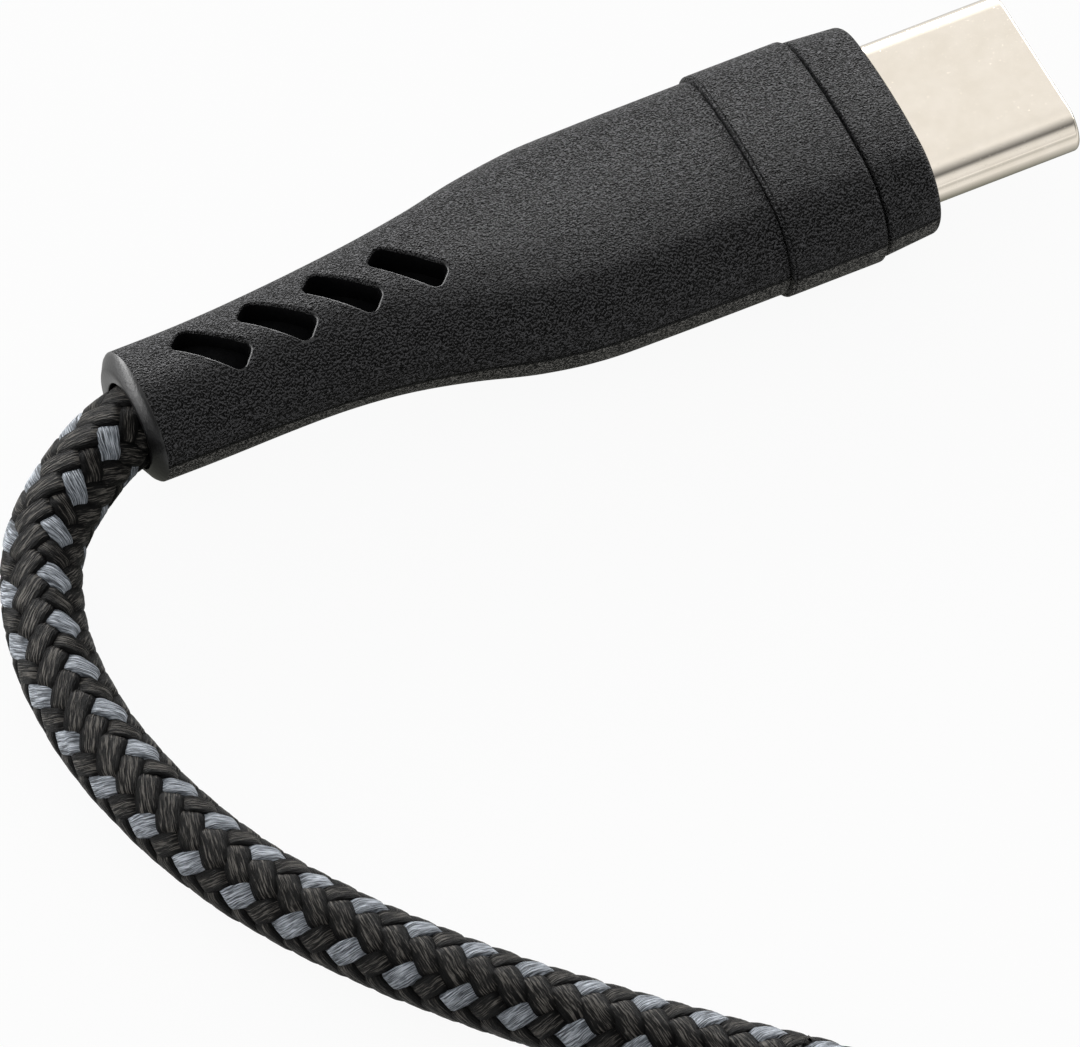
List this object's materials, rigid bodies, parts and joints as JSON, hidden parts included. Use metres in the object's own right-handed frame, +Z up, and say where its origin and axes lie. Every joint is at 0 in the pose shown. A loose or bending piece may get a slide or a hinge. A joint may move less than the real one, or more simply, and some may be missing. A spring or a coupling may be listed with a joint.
{
  "type": "charging cable",
  "caption": "Braided charging and data cable with reversible moulded plugs, slotted strain reliefs and the spare cord coiled and tied.",
  "frame": {"origin": "on the table under the middle of the first plug", "axes": "+X along the first plug towards its mouth, +Z up from the table, +Y across the plug"},
  "size_m": [0.0755, 0.1131, 0.0089],
  "materials": {
    "grip": "fine spark-eroded matte grain",
    "plated_shell": "satin nickel plate, slightly warm",
    "insulator": "moulded, satin",
    "contacts": "gold plated",
    "spring_steel": "stamped, satin",
    "board": "solder mask",
    "chips": "moulded, satin",
    "shield": "tin plated",
    "power_insulation": "extruded",
    "signal_insulation": "extruded",
    "crimp": "crimped strip",
    "core_plastic": "moulded",
    "braid": "two-tone braided yarn, black with grey flecks",
    "strap": "hook-and-loop tape"
  },
  "bodies": {
    "root": {"near_plug_shell": "plated_shell", "near_contact_housing": "insulator", "near_contacts_upper": "contacts", "near_contacts_lower": "contacts", "near_latch_plate": "spring_steel", "near_ground_spring_top": "spring_steel", "near_ground_spring_bottom": "spring_steel", "near_paddle_board": "board", "near_board_parts": "chips", "near_shield_can_upper": "shield", "near_shield_can_lower": "shield", "near_power_cores": "power_insulation", "near_signal_cores": "signal_insulation", "near_crimp_ring": "crimp", "near_cord_root": "braid", "near_inner_mould": "core_plastic", "near_nose_cap": "grip", "near_middle_band": "grip", "near_grip_boot": "grip", "far_plug_shell": "plated_shell", "far_contact_housing": "insulator", "far_contacts_upper": "contacts", "far_contacts_lower": "contacts", "far_latch_plate": "spring_steel", "far_ground_spring_top": "spring_steel", "far_ground_spring_bottom": "spring_steel", "far_paddle_board": "board", "far_board_parts": "chips", "far_shield_can_upper": "shield", "far_shield_can_lower": "shield", "far_power_cores": "power_insulation", "far_signal_cores": "signal_insulation", "far_crimp_ring": "crimp", "far_cord_root": "braid", "far_inner_mould": "core_plastic", "far_nose_cap": "grip", "far_middle_band": "grip", "far_grip_boot": "grip", "cord_lead": "braid", "cord_coil": "braid", "cord_tail": "braid", "cord_tie": "strap"}
  },
  "joints": []
}
